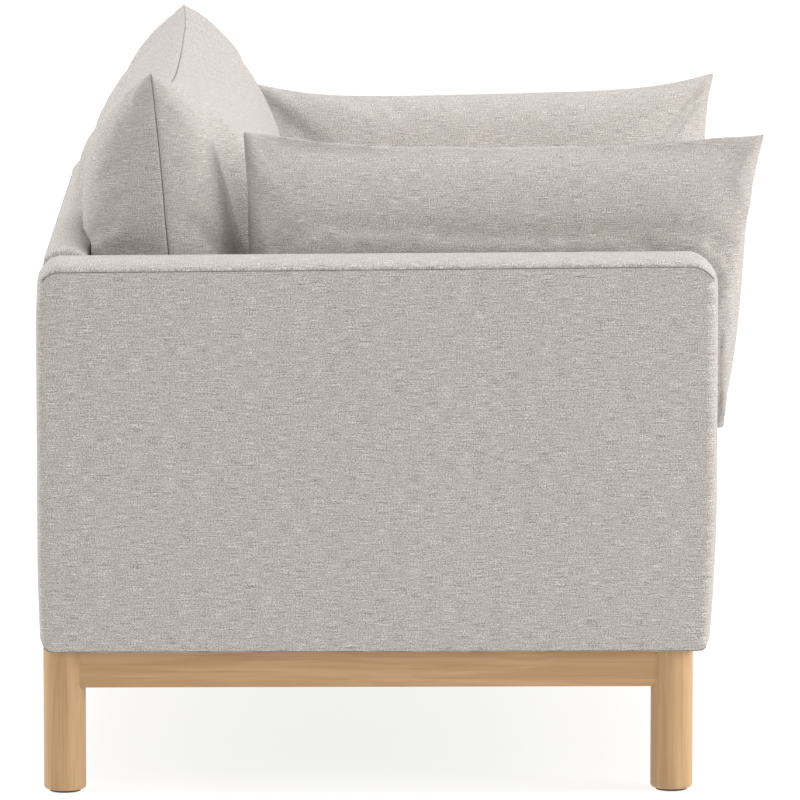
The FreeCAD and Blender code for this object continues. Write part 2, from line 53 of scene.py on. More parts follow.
# ---- places from the frame -------------------------------------------------------------------------------
ARM_LOW, ARM_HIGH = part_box("arm_outer_panel_right")
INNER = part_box("arm_inner_panel_right")[0].x
OUTER = ARM_HIGH.x
REAR = ARM_HIGH.y
FRONT = ARM_LOW.y
BODY_BOTTOM = ARM_LOW.z
BODY_TOP = ARM_HIGH.z
BACK_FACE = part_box("back_front_panel")[0].y
SEAT_LOW, SEAT_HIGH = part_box("seat_cushion_cover")
CUSHION_LOW, CUSHION_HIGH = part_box("back_cushion_cover")

TOP_CROWN = 13 * MM  # rise of the top bands above their seams
END_CROWN = 3 * MM  # the same at an arm's front and rear
FRONT_EDGE, REAR_EDGE = 13 * MM, 8 * MM  # radii of the outer arm panel's upright edges
REAR_RECESS = 7.6 * MM  # from the arms' rear faces to the edges of the back's rear panel
END_GAP = 0.5 * MM  # between the arms and what runs from one to the other
SEAM_DEPTH = 2.6 * MM
SEAM_RINGS = (0.6, 1.6, 3.6)  # extra rings beside a cushion's seam, in millimetres from it
ZIP_RINGS = (0.6, 1.8, 7.4, 8.0, 10.5)  # the same above its bottom seam, past the edge of the zip's groove
SOFT = 8 * MM  # how gently a cushion flattens where it meets something
CLEAR = 0.8 * MM
# heights of a pillow's rear and front upper corners, then the places of its rear and front ends along Y
PILLOWS = {
    "left": (836 * MM, 832 * MM, 207 * MM, -462 * MM),
    "right": (801 * MM, 815 * MM, 202 * MM, -468 * MM),
}
CAMERA_PLACE = (-9.74, 0.1443, 1.6361)
CAMERA_YAW, CAMERA_PITCH = 0.866, 7.162  # degrees
CAMERA_LENS = 321.1


# ---- mesh helpers ----------------------------------------------------------------------------------------
def new_object(name, vertices, faces, cloth=None, seam=None):
    """A mesh object. cloth gives each vertex its place on the flat cloth, in metres, for the weave; seam is 1
    on a line of stitching and 0 off it, and sets how much painted shade darkens the seam's groove there."""
    mesh = bpy.data.meshes.new(name)
    mesh.from_pydata([tuple(v) for v in vertices], [], faces)
    mesh.validate()
    if cloth is not None:
        values = np.zeros((len(vertices), 3), np.float32)
        values[:, :2] = cloth
        attribute = mesh.attributes.new("cloth", "FLOAT_VECTOR", "POINT")
        attribute.data.foreach_set("vector", values.ravel())
    if seam is not None:
        attribute = mesh.attributes.new("seam", "FLOAT", "POINT")
        attribute.data.foreach_set("value", np.asarray(seam, np.float32))
    mesh.shade_smooth()
    piece = bpy.data.objects.new(name, mesh)
    bpy.context.scene.collection.objects.link(piece)
    return piece


def ring_faces(rings, count):
    """Quads between rings of count vertices each, stored one after another."""
    faces = []
    for i in range(rings - 1):
        a, b = i * count, (i + 1) * count
        for j in range(count):
            k = (j + 1) % count
            faces.append((a + j, a + k, b + k, b + j))
    return faces


def smooth_step(a, b, x):
    t = np.clip((x - a) / (b - a), 0, 1)
    return t * t * (3 - 2 * t)


def waves(points, scale, seed):
    """Soft random waves between about -0.5 and 0.5, one value per point."""
    shift = Vector((seed * 7.31, seed * 3.17, seed * 5.77))
    flat = np.asarray(points).reshape(-1, 3)
    values = np.array([noise.noise(Vector(p) * scale + shift) for p in flat])
    return values.reshape(np.asarray(points).shape[:-1])


# ---- boxed forms: two panels and the band sewn between them ----------------------------------------------
def rounded_outline(corners, step, inset=0.0):
    """Points and outward normals round a polygon with rounded corners, drawn in by inset. There is always the
    same number of points. corners are (x, y, radius), anticlockwise."""
    count = len(corners)
    places = [Vector(c[:2]) for c in corners]
    ways = [(places[(i + 1) % count] - places[i]).normalized() for i in range(count)]

    def arcs(inset):
        made = []
        for i, (x, y, radius) in enumerate(corners):
            into, out = ways[i - 1], ways[i]
            inward, onward = Vector((-into.y, into.x)), Vector((-out.y, out.x))
            here = Vector((x, y)) + (inward + onward) * inset / (1 + inward.dot(onward))
            turn = math.acos(max(-1, min(1, into.dot(out))))
            rounded = max(radius - inset, 0.3 * radius)
            start = here - into * rounded * math.tan(turn / 2)
            made.append((start + inward * rounded, rounded, math.atan2(-inward.y, -inward.x), turn))
        return made

    points, normals = [], []
    first, drawn = arcs(0), arcs(inset)
    for i in range(count):
        centre, radius, angle, turn = drawn[i]
        steps = max(4, round(first[i][1] * turn / step))
        for k in range(steps + 1):
            a = angle + turn * k / steps
            normal = Vector((math.cos(a), math.sin(a)))
            points.append(centre + normal * radius)
            normals.append(normal)
        following, reach, begin, _ = drawn[(i + 1) % count]
        target = following + Vector((math.cos(begin), math.sin(begin))) * reach
        own = places[(i + 1) % count] - places[i]
        steps = max(2, round(own.length / step))
        start = points[-1].copy()
        for k in range(1, steps):
            points.append(start + (target - start) * k / steps)
            normals.append(normals[-1])
    return np.array(points), np.array(normals)


def boxed_form(name, corners, step, width, crown, wrap, rises, to_world, deepest, channel=None):
    """A closed upholstered form: a panel, a crowned band and a second panel, joined at two sewn grooves.
    corners are those of the seams' outline, and width is the distance between the two panels. crown gives
    the band's rise from the outline's normals and points. wrap gives, from the normals, the share by which
    the first panel wraps round its edge before its seam, and that edge's radius. rises are the two panels'
    bulges, and deepest is the inset of their innermost ring. channel is (middle w, half width, depth at each
    point) of a groove along the band."""
    points, normals = rounded_outline(corners, step)
    count = len(points)
    crown = crown(normals, points)
    wrapped, radius = wrap(normals)
    edge = radius * wrapped
    run = np.concatenate([[0], np.cumsum(np.linalg.norm(np.diff(points, axis=0), axis=1))])
    line = np.stack([run, run * 0, run * 0], 1)
    pucker = waves(line, 42.0, 3) + 0.6 * waves(line, 95.0, 4)
    # share of painted shade in the seams, by the way the outline's normal faces: most where it points along the
    # outline's second axis, less where the first panel wraps round its edge
    seam_shade_share = 0.45 + 0.55 * smooth_step(0.2, 0.8, normals[:, 1]) - 0.3 * wrapped
    rings, cloths, seams = [], [], []

    def ring(out, w, cloth, seam=0.0):
        """One ring: its outward offset from the seams' outline and its depth below the first panel."""
        flat = points + normals * np.broadcast_to(out, (count,))[:, None]
        raw_ring(flat, w, cloth, seam)

    def raw_ring(flat, w, cloth, seam=0.0):
        rings.append((flat, np.broadcast_to(w, (count,))))
        cloths.append(cloth)
        seams.append(seam * seam_shade_share)

    def panel_rings(base, sign, rise, seed, spread, border):
        """Rings of one panel from its middle outwards; border is the width of its rounded edge."""
        made = []
        for reach in (4 * MM, 7.5 * MM):
            made.append((points - normals * (border + reach)[:, None], np.full(count, reach)))
        inset = border.max() + 7.5 * MM
        while inset + 6 * MM < deepest:
            inset = min(inset * 1.22 + 4 * MM, deepest)
            made.append((rounded_outline(corners, step, inset)[0], inset - border))
        for flat, reach in made[::-1]:
            lift = rise * (1 - np.exp(-reach / (38 * MM)))
            lift = lift + 1.6 * MM * waves(np.column_stack([flat, flat[:, 0] * 0]), 6.0, seed) * (rise > 0)
            lift = lift + 0.9 * MM * pucker * np.exp(-reach / (9 * MM))
            yield flat, base - sign * lift, flat + spread

    def blend(on_edge, round_edge):
        return on_edge * (1 - wrapped) + round_edge * wrapped

    for flat, w, cloth in panel_rings(0.0, 1, rises[0], 5, 0.0, edge):
        raw_ring(flat, w, cloth)
    for k in range(7):
        a = math.pi / 2 * k / 6
        near = (3 - 0.3 * k) * MM
        out = blend(-near, -edge * (1 - math.sin(a)))
        cloth = points - normals * blend(near, edge * (1 - a))[:, None]
        ring(out, blend(0.0, edge * (1 - math.cos(a))), cloth)
    margin = points + normals * (edge * 0.6)[:, None]
    # the last value given to ring is the painted shade of the seam's groove: full on the seam line, faint on
    # its lips
    ring(blend(-0.5 * MM, -0.9 * MM), blend(0.9 * MM, edge + 0.6 * MM), margin, 0.2)
    ring(blend(0.0, -SEAM_DEPTH), blend(SEAM_DEPTH, edge + 1.6 * MM), margin, 1.0)
    band = np.stack([run + 3, run * 0 + 5], 1)
    ring(blend(0.5 * MM, -0.9 * MM), blend(0.9 * MM, edge + 2.6 * MM), band, 0.3)
    start, end = edge + 3 * MM, width - 3 * MM
    shares = [0.5 - 0.5 * math.cos(math.pi * (0.03 + 0.94 * k / 22)) for k in range(23)]
    depths = 0.0
    if channel:
        middle, half, depth_at = channel
        depths = depth_at(points)
        extra = [(middle + k * half) / width for k in (-1.25, -1.02, -0.98, 0, 0.98, 1.02, 1.25)]
        shares = sorted([t for t in shares if not extra[0] < t < extra[-1]] + extra)
    for t in shares:
        w = blend(width * t, start + (end - start) * t) if not channel else np.full(count, width * t)
        rounded = (1 - abs(2 * t - 1) ** 2.4) ** (1 / 2.4)
        rise = blend(crown * rounded, crown * (1 - abs(2 * t - 1) ** 4))
        rise = rise + 0.7 * MM * pucker * np.exp(-np.minimum(w - edge, width - w) / (10 * MM))
        if channel:
            rise = rise - depths * (np.abs(w - middle) < half)
        ring(rise, w, np.stack([run + 3, w + 5], 1))
    back = points + 1.7
    # the same painted shade of the groove at the second seam
    ring(blend(0.5 * MM, -0.9 * MM), blend(width - 0.9 * MM, width - 2.6 * MM), band + 0.4, 0.3)
    ring(blend(0.0, -SEAM_DEPTH), blend(width - SEAM_DEPTH, width - 1.8 * MM), back, 1.0)
    ring(blend(-0.5 * MM, -0.9 * MM), blend(width - 0.9 * MM, width - 1.0 * MM), back, 0.2)
    ring(-1.5 * MM, width, back)
    for flat, w, cloth in list(panel_rings(width, -1, rises[1], 8, 1.7, edge * 0))[::-1]:
        raw_ring(flat, w, cloth)

    vertices = [to_world(flat, w) for flat, w in rings]
    faces = ring_faces(len(rings), count)
    for index, flip in ((0, False), (len(rings) - 1, True)):
        flat, w = rings[index]
        vertices.append(to_world(flat.mean(0)[None], np.array([w.mean()])))
        cloths.append(cloths[index].mean(0)[None])
        seams.append([0.0])
        hub, base = len(rings) * count + (1 if flip else 0), index * count
        for j in range(count):
            k = (j + 1) % count
            faces.append((hub, base + j, base + k) if flip else (hub, base + k, base + j))
    return new_object(name, np.concatenate(vertices), faces, np.concatenate(cloths), np.concatenate(seams))


def build_arm(side):
    sign = SIDES[side]
    rear, front = -REAR + END_CROWN, 1 * MM - FRONT  # the outline runs in (-y, z): its front is to the right
    seam_top = BODY_TOP - TOP_CROWN
    corners = [
        (rear, BODY_BOTTOM, 14 * MM),
        (front, BODY_BOTTOM, 14 * MM),
        (front, seam_top + 1.5 * MM, 34 * MM),
        (rear, seam_top - 5 * MM, 24 * MM),
    ]

    def facing(normals):
        return [smooth_step(0.1, 0.95, value) for value in (
            normals[:, 1], -normals[:, 1], normals[:, 0], -normals[:, 0])]

    def crown(normals, points):
        up, down, forward, backward = facing(normals)
        top = TOP_CROWN + 2 * MM * (front - points[:, 0]) / (front - rear)
        return (top * up + END_CROWN * (forward + backward)) / (up + down + forward + backward)

    def wrap(normals):
        up, down, forward, backward = facing(normals)
        share = smooth_step(0.35, 0.8, (forward + backward) * (1 - up) * (1 - down))
        return share, np.where(normals[:, 0] > 0, FRONT_EDGE, REAR_EDGE)

    def to_world(flat, w):
        along, height = flat[:, 0], flat[:, 1]
        low = np.clip((0.30 - height) / 0.115, 0, 1) ** 1.5
        high = smooth_step(0.60, BODY_TOP, height)
        forward = np.clip((along - rear) / (front - rear), 0, 1)
        tuck = np.clip((0.38 - height) / 0.19, 0, 1) ** 1.7
        along = along + (1 - forward) ** 6 * (3.5 * MM * low + 3 * MM * high) - forward**6 * 9 * MM * tuck
        return np.stack([sign * (OUTER - w), -along, height], 1)

    arm = boxed_form(
        f"arm_cover_{side}", corners, 7 * MM, OUTER - INNER, crown, wrap, (2 * MM, 0.0), to_world, 0.235
    )
    if sign < 0:
        arm.data.flip_normals()
    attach(arm, "frame")
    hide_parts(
        f"arm_outer_panel_{side}", f"arm_inner_panel_{side}", f"arm_band_{side}", f"arm_foam_{side}"
    )
    return arm


def build_seat_cushion():
    bulge = 6 * MM
    inset = 3 * MM
    low, high = SEAT_LOW, SEAT_HIGH
    corners = [
        (low.x + inset, low.y + 14 * MM, 26 * MM),
        (high.x - inset, low.y + 14 * MM, 26 * MM),
        (high.x - inset, high.y - inset, 16 * MM),
        (low.x + inset, high.y - inset, 16 * MM),
    ]
    tape_low, tape_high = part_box("seat_zip_tape")

    def crown(normals, _points):
        forward = smooth_step(0.1, 0.9, -normals[:, 1])
        return 2 * MM + 12 * MM * forward

    def channel_depth(points):
        inside = (np.abs(points[:, 0]) < tape_high.x + 4 * MM) & (points[:, 1] > 0)
        return np.where(inside, high.y - tape_low.y + 2 * MM, 0.0)

    top = high.z - bulge

    def to_world(flat, w):
        return np.column_stack([flat, top - w])

    cushion = boxed_form(
        "seat_cushion", corners, 9 * MM, top - low.z, crown, lambda normals: (np.zeros(len(normals)), 0.0),
        (bulge, 0.0), to_world, 0.36,
        (top - (tape_low.z + tape_high.z) / 2, (tape_high.z - tape_low.z) / 2 + 1 * MM, channel_depth),
    )
    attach(cushion, "seat_cushion")
    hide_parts("seat_cushion_cover", "seat_cushion_foam")
    return cushion


# ---- back and front border: sections run along X ---------------------------------------------------------
def section_form(name, section, cloth_run, x0, x1, pinch):
    """A closed section, as (y, z) points, run from x0 to x1 and drawn in a little at its two ends."""
    section = np.array(section)
    count = len(section)
    middle = section.mean(0)
    stations = [(0, 1 - 3 * pinch), (0.6 * MM, 1 - pinch), (3 * MM, 1)]
    inner = np.linspace(3 * MM, (x1 - x0) - 3 * MM, 60)[1:-1]
    places = stations + [(x, 1) for x in inner] + [(x1 - x0 - s, k) for s, k in reversed(stations)]
    rings, cloths = [], []
    for offset, k in places:
        drawn = section - (section - middle) / np.linalg.norm(section - middle, axis=1)[:, None] * (1 - k)
        rings.append(np.column_stack([np.full(count, x0 + offset), drawn]))
        cloths.append(np.column_stack([np.full(count, offset), cloth_run]))
    vertices = np.concatenate(rings)
    faces = [face[::-1] for face in ring_faces(len(rings), count)]
    faces.append(tuple(range(count)))
    faces.append(tuple(reversed(range((len(rings) - 1) * count, len(rings) * count))))
    return new_object(name, vertices, faces, np.concatenate(cloths))


def band_section(front, rear, bottom, seam, crown):
    """Section of the back: front panel, groove, crowned top band, groove and a taut rear panel."""
    bulge, rear_bulge, lip = 2 * MM, 4 * MM, 1.4 * MM
    points, run = [], []

    def add(y, z, s):
        points.append((y, z))
        run.append(s)

    heights = np.linspace(bottom, seam - 8 * MM, 26)
    for z in heights:
        t = (z - bottom) / (seam - bottom)
        add(front - bulge * math.sin(math.pi * t) ** 0.5 + 1 * MM, z, z)
    add(front + 0.2 * MM, seam - 3 * MM, seam)
    add(front + lip * 0.5, seam - lip, seam)
    add(front + SEAM_DEPTH, seam, seam)
    width = rear - front
    for t in np.linspace(0.012, 0.988, 19):
        add(front + width * t, seam + crown * (1 - abs(2 * t - 1) ** 2.6) + lip * 0.3, 2 + width * t)
    add(rear - SEAM_DEPTH, seam, 4 + seam)
    add(rear - lip * 0.5, seam - lip, 4 + seam)
    add(rear - 0.2 * MM, seam - 3 * MM, 4 + seam)
    for z in heights[::-1]:
        t = (z - bottom) / (seam - bottom)
        add(rear + rear_bulge * math.sin(math.pi * t) ** 0.35, z, 4 + z)
    return points, run


def build_back():
    points, run = band_section(BACK_FACE, REAR - REAR_RECESS, BODY_BOTTOM, BODY_TOP - TOP_CROWN, TOP_CROWN)
    back = section_form("back_cover", points, run, -INNER + END_GAP, INNER - END_GAP, 2.5 * MM)
    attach(back, "frame")
    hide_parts("back_front_panel", "back_rear_panel", "back_top_band", "back_foam")
    return back


def build_front_border():
    low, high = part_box("front_border_cover")
    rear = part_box("front_border_foam")[1].y
    points, run = [], []
    radius = 1.6 * MM  # no more than the cover's thickness, so that the deck pad behind it stays hidden
    for z in np.linspace(low.z + radius, high.z - radius, 16):
        t = (z - low.z) / (high.z - low.z)
        points.append((low.y - 2 * MM * math.sin(math.pi * t), z))
        run.append(z)
    for k in range(1, 8):
        a = math.pi / 2 * k / 7
        points.append((low.y + radius * (1 - math.cos(a)), high.z - radius + radius * math.sin(a)))
        run.append(high.z + radius * a)
    points.append((rear, high.z))
    run.append(high.z + rear - low.y)
    points.append((rear, low.z))
    run.append(low.z)
    for k in range(7):
        a = math.pi / 2 * k / 7
        points.append((low.y + radius * (1 - math.sin(a)), low.z + radius * (1 - math.cos(a))))
        run.append(low.z)
    border = section_form("front_border", points, run, -INNER + END_GAP, INNER - END_GAP, 2 * MM)
    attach(border, "frame")
    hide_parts("front_border_cover", "front_border_foam")
    return border


# ---- loose cushions: two panels sewn together round their edges, then inflated ---------------------------
def panel_index(columns, rows):
    """Vertex numbers of two grids that share their edges, and how many there are."""
    index = np.arange(2 * columns * rows).reshape(2, columns, rows)
    index[1, 0], index[1, -1] = index[0, 0], index[0, -1]
    index[1, :, 0], index[1, :, -1] = index[0, :, 0], index[0, :, -1]
    used, packed = np.unique(index, return_inverse=True)
    return packed.reshape(index.shape), len(used)


def panel_faces(index):
    faces = []
    for side, order in ((0, 1), (1, -1)):
        grid = index[side]
        quads = np.stack([grid[:-1, :-1], grid[1:, :-1], grid[1:, 1:], grid[:-1, 1:]], -1).reshape(-1, 4)
        faces += [tuple(q)[::order] for q in quads.tolist()]
    return faces


def packed_points(grids, index, total):
    points = np.zeros((total, grids.shape[-1]))
    points[index.ravel()] = grids.reshape(-1, grids.shape[-1])
    return points


def inflate(grids, held, frames=14, loose=0.022, cap=11 * MM):
    """Runs the cloth under pressure from the given shape, a little oversize, with its seams gathered.
    held marks the points that rest on something and stay put."""
    index, total = panel_index(*grids.shape[1:3])
    points = packed_points(grids, index, total)
    trial = new_object("trial", points, panel_faces(index))
    pinned = trial.vertex_groups.new(name="pinned")
    pinned.add(np.unique(index[held]).tolist(), 1.0, "REPLACE")
    seam = trial.vertex_groups.new(name="seam")
    border = np.unique(np.concatenate([index[0, 0], index[0, -1], index[0, :, 0], index[0, :, -1]]))
    seam.add(border.tolist(), 1.0, "REPLACE")
    cloth = trial.modifiers.new("cloth", "CLOTH")
    settings = cloth.settings
    settings.quality = 5
    settings.mass = 0.3
    settings.tension_stiffness = settings.compression_stiffness = 15
    settings.shear_stiffness = 5
    settings.bending_stiffness = 0.35
    settings.use_pressure = True
    settings.uniform_pressure_force = 4
    settings.effector_weights.gravity = 0
    settings.vertex_group_mass = "pinned"
    settings.vertex_group_shrink = "seam"
    settings.shrink_min = -loose
    settings.shrink_max = 0.004
    scene = bpy.context.scene
    cloth.point_cache.frame_start, cloth.point_cache.frame_end = 1, frames
    for step in range(1, frames + 1):
        scene.frame_set(step)
    result = trial.evaluated_get(bpy.context.evaluated_depsgraph_get())
    moved = np.zeros(total * 3, np.float32)
    result.data.vertices.foreach_get("co", moved)
    moved = moved.reshape(-1, 3) - points
    scene.frame_set(1)
    mesh = trial.data
    bpy.data.objects.remove(trial)
    bpy.data.meshes.remove(mesh)
    length = np.linalg.norm(moved, axis=1, keepdims=True)
    moved *= np.minimum(1, cap * np.tanh(length / cap) / np.maximum(length, 1e-9))
    return (points + moved)[index]


def resample(grids, places, axis):
    """Values of the grids at fractional places along one axis, on a smooth curve through its points."""
    grids = np.moveaxis(grids, axis, 0)
    last = len(grids) - 1
    at = np.clip(np.floor(places).astype(int), 0, last - 1)
    t = (places - at).reshape((-1,) + (1,) * (grids.ndim - 1))
    p0, p1 = grids[np.maximum(at - 1, 0)], grids[at]
    p2, p3 = grids[at + 1], grids[np.minimum(at + 2, last)]
    made = 0.5 * (
        2 * p1 + (p2 - p0) * t + (2 * p0 - 5 * p1 + 4 * p2 - p3) * t**2 + (3 * p1 - p0 - 3 * p2 + p3) * t**3
    )
    return np.moveaxis(made, 0, axis)


def sewn(name, grids, flat, size, zip_span, floor):
    """The finished cover. Rings close to the seam are added, the seam is sunk between its two lips, and the
    zip's groove is opened along the bottom. flat holds each point's place on the cloth. size is (length,
    height) and zip_span is (start, end, axis, depth)."""
    columns, rows = grids.shape[1:3]
    last_column, last_row = columns - 1, rows - 1
    along = np.array(SEAM_RINGS) * MM * last_column / size[0]
    upward = np.array(SEAM_RINGS) * MM * last_row / size[1]
    zip_rows = np.array(ZIP_RINGS) * MM * last_row / size[1]
    inner_columns, inner_rows = np.arange(1, last_column), np.arange(2, last_row)
    column_places = np.concatenate([[0], along, inner_columns, last_column - along[::-1], [last_column]])
    row_places = np.concatenate([[0], zip_rows, inner_rows, last_row - upward[::-1], [last_row]])
    both = np.concatenate([grids, np.broadcast_to(flat, grids.shape[:3] + (2,))], -1)
    both = resample(resample(both, column_places, 1), row_places, 2)
    for edge in (0, -1, np.s_[:, 0], np.s_[:, -1]):
        both[1][edge] = both[0][edge]
    points, cloth = both[..., :3], both[..., 3:]
    # the seam sinks towards the middle of the cushion
    middle = points.reshape(-1, 3).mean(0)
    # seam holds the painted shade of the seam's groove: full on the seam line, faint on the next ring, none
    # beyond
    sink, seam = np.zeros(points.shape[:3]), np.zeros(points.shape[:3] + (1,))
    for k, depth, groove_shade in ((0, SEAM_DEPTH, 1.0), (1, SEAM_DEPTH * 0.4, 0.15), (2, -0.3 * MM, 0.0)):
        across, upright = slice(k, sink.shape[1] - k), slice(k, sink.shape[2] - k)
        for i, j in ((k, upright), (-1 - k, upright), (across, k), (across, -1 - k)):
            sink[:, i, j] = depth
            seam[:, i, j] = groove_shade
    towards = middle - points
    towards /= np.linalg.norm(towards, axis=-1, keepdims=True)
    points = points + towards * sink[..., None]
    low, high, axis, depth = zip_span
    inside = (points[..., axis] > low - 3 * MM) & (points[..., axis] < high + 3 * MM)
    opened = np.zeros(points.shape[:3], bool)
    opened[:, :, :4] = True
    points[..., 2] = np.where(inside & opened, floor + depth, points[..., 2])
    index, total = panel_index(*points.shape[1:3])
    return new_object(
        name, packed_points(points, index, total), panel_faces(index), packed_points(cloth, index, total),
        packed_points(seam, index, total)[:, 0],
    )


def unit_grids(columns, rows):
    u, v = np.meshgrid(np.linspace(-1, 1, columns), np.linspace(-1, 1, rows), indexing="ij")
    return np.stack([u, u]), np.stack([v, v]), np.stack([np.ones_like(u), -np.ones_like(u)])


def build_back_cushion():
    columns, rows = 151, 57
    u, v, face = unit_grids(columns, rows)
    u = np.sin(u * math.pi / 2) * 0.35 + u * 0.65  # closer together near the ends
    half_length = CUSHION_HIGH.x + 1 * MM
    floor, ear = CUSHION_LOW.z, CUSHION_HIGH.z + 7.5 * MM
    tape_low, tape_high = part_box("back_cushion_zip_tape")
    seam_depth = REAR - (tape_low.y + tape_high.y) / 2
    end = np.abs(u)
    top = ear - MM * u - 43 * MM * (1 - end**2)
    start = floor - 26 * MM * (1 - end**12)
    height = start + (top - start) * (v + 1) / 2
    rise = np.clip((height - floor) / (ear - floor), 0, 1)
    lean = seam_depth + (146 * MM + 11.5 * MM * (1 + u) - seam_depth) * rise
    x = u * (half_length - 9 * MM * (1 - v * v) * end**6)
    front = face > 0
    place = np.stack([x, face * 0.3, height], -1)
    soft = waves(place, 3.1, 11) + 0.5 * waves(place, 8.0, 12)
    # its ends are fuller near their upper corners, and the pillows press them in at the front
    middle_reach = 129 * MM * (1 - v * v) ** 0.52
    blunt = np.where(front, 0.4, 0.58)
    end_reach = np.where(front, 80 * MM, 112 * MM) * (1 - v * v) ** np.where(v > 0, blunt, 0.5)
    near_end = np.where(front, smooth_step(0.49, 0.55, np.abs(x)), smooth_step(0.36, 0.52, np.abs(x)))
    near_end = near_end * (1 - smooth_step(0.7, 0.9, rise) * (u > 0) * front)
    reach = middle_reach * (1 - near_end) + end_reach * near_end
    y = REAR - lean - face * reach * (1 + 0.06 * soft) * (1 - end**16) ** 0.5
    wall = BACK_FACE - CLEAR + 70 * MM * smooth_step(BODY_TOP, BODY_TOP + 55 * MM, height)
    held = (y > wall + 6 * MM) | (height < floor)
    held[:, :3, -3:] = held[:, -3:, -3:] = True

    def kept(grids):
        over = grids[..., 1] - wall + SOFT
        y = wall - SOFT + np.where(over > 0, SOFT * np.tanh(over / SOFT), over)
        x = np.clip(grids[..., 0], CLEAR - INNER, INNER - CLEAR)
        return np.stack([x, y, np.maximum(grids[..., 2], floor)], -1)

    grids = kept(np.stack([x, y, height], -1))
    flat = np.stack([
        x + 10 + np.sign(u) * 90 * MM * (1 - (1 - end**16) ** 0.5),
        height + face * 2 + np.sign(v) * 125 * MM * (1 - (1 - v * v) ** 0.5),
    ], -1)
    grids = kept(inflate(grids, held))
    zip_span = (tape_low.x, tape_high.x, 0, tape_high.z - floor + 0.3 * MM)
    cushion = sewn("back_cushion", grids, flat, (2 * half_length, ear - floor), zip_span, floor)
    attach(cushion, "back_cushion")
    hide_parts("back_cushion_cover", "back_cushion_fill")
    return cushion


def build_pillow(side, rear_ear, front_ear, rear_end, front_end):
    """A pillow leaning on an arm. Its upper corners are given as heights, and its ends as places along Y."""
    sign = SIDES[side]
    columns, rows = 89, 53
    low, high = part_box(f"pillow_{side}_cover")
    tape_low, tape_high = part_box(f"pillow_{side}_zip_tape")
    u, v, face = unit_grids(columns, rows)
    u = np.sin(u * math.pi / 2) * 0.3 + u * 0.7
    floor = low.z
    seam_x = abs(tape_low.x + tape_high.x) / 2
    ear = front_ear + (rear_ear - front_ear) * (u + 1) / 2
    top = ear - 13 * MM * (1 - np.abs(u) ** 5)
    start = floor - 14 * MM * (1 - np.abs(u) ** 10)
    height = start + (top - start) * (v + 1) / 2
    rise = np.clip((height - floor) / (ear - floor), 0, 1)
    bow = 1 - (2 * rise - 1) ** 2
    fall = 1 - rise
    front = front_end - 2 * MM * bow + 7 * MM * smooth_step(1, 0.88, rise) + 22 * MM * fall + 18 * MM * fall**7
    rear = rear_end + 8 * MM * bow - 2 * MM * smooth_step(1, 0.9, rise) - 36 * MM * fall**3.5
    y = front + (rear - front) * (u + 1) / 2
    lean = seam_x + (602 * MM - seam_x) * rise * (2 - rise)  # the arm stops short of its top, so it straightens
    rounding = np.where((face > 0) & (v > 0), 0.62, 0.5)
    profile = (1 - v * v) ** rounding * (1 - np.abs(u) ** np.where(u > 0, 14, 9)) ** 0.5
    place = np.stack([y + sign, face * 0.3, height], -1)
    soft = waves(place, 5.0, 21) + 0.5 * waves(place, 11.0, 31)
    across = lean + face * 68 * MM * (1 + 0.1 * soft) * profile
    wall = INNER - CLEAR + 9 * MM * smooth_step(BODY_TOP, BODY_TOP + 70 * MM, height)
    held = (across > wall + 8 * MM) | (height < floor)
    held[:, :2, -2:] = held[:, -2:, -2:] = True

    def kept(grids):
        over = sign * grids[..., 0] - wall + SOFT
        x = wall - SOFT + np.where(over > 0, SOFT * np.tanh(over / SOFT), over)
        return np.stack([sign * x, grids[..., 1], np.maximum(grids[..., 2], floor)], -1)

    grids = kept(np.stack([sign * across, y, height], -1))
    flat = np.stack([
        y + 20 + sign + np.sign(u) * 65 * MM * (1 - (1 - np.abs(u) ** 12) ** 0.5),
        height + face * 2 + np.sign(v) * 65 * MM * (1 - (1 - v * v) ** 0.5),
    ], -1)
    grids = kept(inflate(grids, held))
    zip_span = (tape_low.y, tape_high.y, 1, tape_high.z - floor + 0.3 * MM)
    pillow = sewn(f"pillow_{side}", grids, flat, (high.y - low.y, rear_ear - floor), zip_span, floor)
    if sign > 0:
        pillow.data.flip_normals()
    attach(pillow, f"pillow_{side}")
    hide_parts(f"pillow_{side}_cover", f"pillow_{side}_fill")
    return pillow


# ---- thin cloth under the seat and under the body --------------------------------------------------------
def thin_sheet(name, node, step, drop, posts=()):
    """A sheet of cloth in the place of a CAD node, with a top and an underside. drop gives how far it hangs,
    and posts the (x, y, radius) of round posts it is cut away from."""
    low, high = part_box(node)
    thick = 1.0 * MM
    columns, rows = (max(3, round((b - a) / step)) for a, b in ((low.x, high.x), (low.y, high.y)))
    x, y = np.meshgrid(np.linspace(low.x, high.x, columns), np.linspace(low.y, high.y, rows), indexing="ij")
    s, t = np.meshgrid(np.linspace(-1, 1, columns), np.linspace(-1, 1, rows), indexing="ij")
    for post_x, post_y, radius in posts:
        away = np.maximum(1, radius / np.hypot(x - post_x, y - post_y))
        x, y = post_x + (x - post_x) * away, post_y + (y - post_y) * away
    z = high.z - thick / 2 - drop(x, y, s, t)
    index = np.arange(columns * rows).reshape(columns, rows)
    quads = np.stack([index[:-1, :-1], index[1:, :-1], index[1:, 1:], index[:-1, 1:]], -1).reshape(-1, 4)
    top = np.stack([x, y, z + thick / 2], -1).reshape(-1, 3)
    under = np.stack([x, y, z - thick / 2], -1).reshape(-1, 3)
    total = columns * rows
    faces = [tuple(q) for q in quads.tolist()] + [tuple(total + i for i in q[::-1]) for q in quads.tolist()]
    rim = np.concatenate([index[:-1, 0], index[-1, :-1], index[:0:-1, -1], index[0, :0:-1]]).tolist()
    for a, b in zip(rim, rim[1:] + rim[:1]):
        faces.append((b, a, total + a, total + b))
    flat = np.stack([x, y], -1).reshape(-1, 2)
    sheet = new_object(name, np.concatenate([top, under]), faces, np.concatenate([flat, flat]))
    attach(sheet, "frame")
    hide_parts(node)
    return sheet


